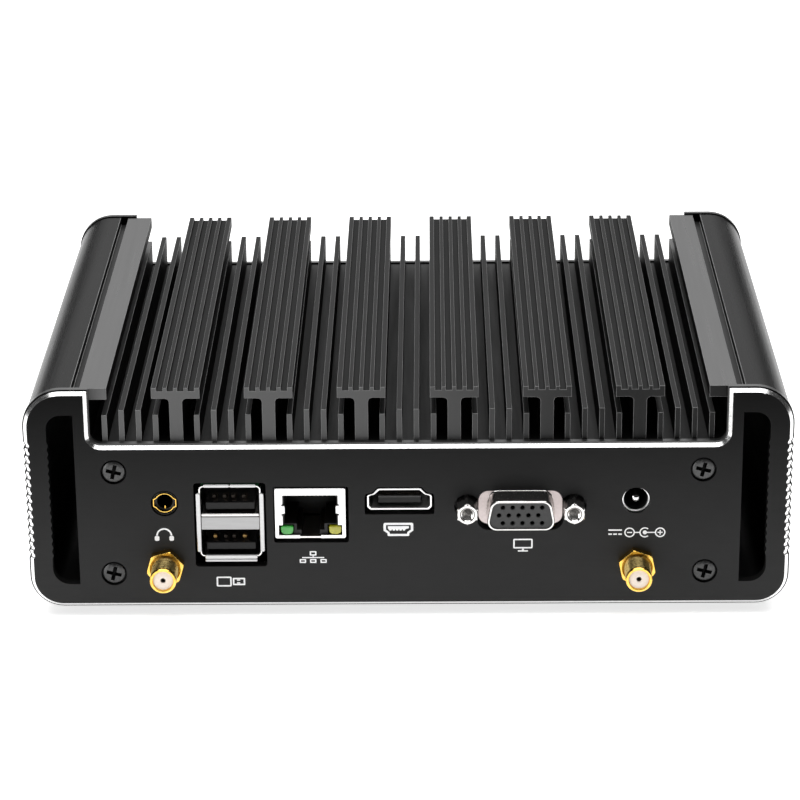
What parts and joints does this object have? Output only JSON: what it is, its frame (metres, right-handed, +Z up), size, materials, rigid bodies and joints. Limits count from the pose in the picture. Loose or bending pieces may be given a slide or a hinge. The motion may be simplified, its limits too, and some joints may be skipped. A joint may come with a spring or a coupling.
{
  "type": "fanless mini pc",
  "caption": "Fanless mini computer in a finned black aluminium case with side air channels, end panels, rear connectors and a sprung power button.",
  "frame": {"origin": "under the middle of the object's box, at the level that the feet stand on", "axes": "+X to the right when looking at the connector side, +Y from the connector side to the power button's side, +Z up"},
  "size_m": [0.18, 0.1442, 0.0577],
  "materials": {
    "anodised_black": "satin black anodised extrusion",
    "panel_black": "fine-textured black plate with bright cut chamfers",
    "screw_black": "black zinc steel",
    "rubber": "matt",
    "nickel": "nickel-plated steel",
    "steel": "brushed",
    "gold": "gold-plated brass",
    "black_plastic": "moulded",
    "blue_plastic": "moulded",
    "green_led": "translucent green",
    "yellow_led": "translucent yellow",
    "clear_plastic": "clear",
    "board_green": "solder mask",
    "chip_grey": "moulded package",
    "copper": "bare copper",
    "aluminium": "satin"
  },
  "bodies": {
    "case": {"antenna_connector_left": "gold", "antenna_connector_right": "gold", "antenna_lead_left": "black_plastic", "antenna_lead_right": "black_plastic", "antenna_nut_left": "gold", "antenna_nut_right": "gold", "audio_jack_body": "black_plastic", "audio_jack_contact": "gold", "bottom_cover": "panel_black", "bottom_cover_screw_1": "screw_black", "bottom_cover_screw_2": "screw_black", "bottom_cover_screw_3": "screw_black", "bottom_cover_screw_4": "screw_black", "button_bezel": "panel_black", "dc_jack_housing": "black_plastic", "dc_jack_pin": "nickel", "disk_light_pipe": "clear_plastic", "front_panel": "panel_black", "front_panel_screw_1": "screw_black", "front_panel_screw_2": "screw_black", "front_panel_screw_3": "screw_black", "front_panel_screw_4": "screw_black", "front_usb_insert": "blue_plastic", "front_usb_shell": "nickel", "hdmi_insert": "black_plastic", "hdmi_shell": "nickel", "heat_sink": "anodised_black", "heat_spreader": "copper", "io_panel": "panel_black", "io_panel_screw_1": "screw_black", "io_panel_screw_2": "screw_black", "io_panel_screw_3": "screw_black", "io_panel_screw_4": "screw_black", "lan_jack_insert": "black_plastic", "lan_jack_shell": "nickel", "lan_link_light": "green_led", "lan_traffic_light": "yellow_led", "main_board": "board_green", "memory_module": "board_green", "memory_socket": "black_plastic", "power_light_pipe": "clear_plastic", "power_switch_body": "black_plastic", "processor_package": "chip_grey", "rubber_foot_1": "rubber", "rubber_foot_2": "rubber", "rubber_foot_3": "rubber", "rubber_foot_4": "rubber", "side_shell_left": "anodised_black", "side_shell_right": "anodised_black", "solid_state_drive": "aluminium", "usb_stack_insert": "black_plastic", "usb_stack_shell": "nickel", "vga_insert": "black_plastic", "vga_jackscrew_left": "nickel", "vga_jackscrew_right": "nickel", "vga_shell": "nickel", "wifi_card": "board_green"},
    "button": {"power_button": "steel"},
    "latch_left": {"memory_latch_left": "steel"},
    "latch_right": {"memory_latch_right": "steel"}
  },
  "joints": [
    {"name": "power_button_press", "type": "slide", "parent": "case", "child": "button", "axis": [0, -1, 0], "range_m": [0, 0.0008], "stiffness_N_per_m": 1200, "springref_m": -0.0008},
    {"name": "memory_latch_left_spread", "type": "hinge", "parent": "case", "child": "latch_left", "pos_m": [-0.0107, 0.0489, 0.0317], "axis": [0, 0, -1], "range_deg": [0, 8], "stiffness_Nm_per_rad": 0.5, "springref_deg": -2.86},
    {"name": "memory_latch_right_spread", "type": "hinge", "parent": "case", "child": "latch_right", "pos_m": [0.0587, 0.0489, 0.0317], "axis": [0, 0, 1], "range_deg": [0, 8], "stiffness_Nm_per_rad": 0.5, "springref_deg": -2.86}
  ]
}
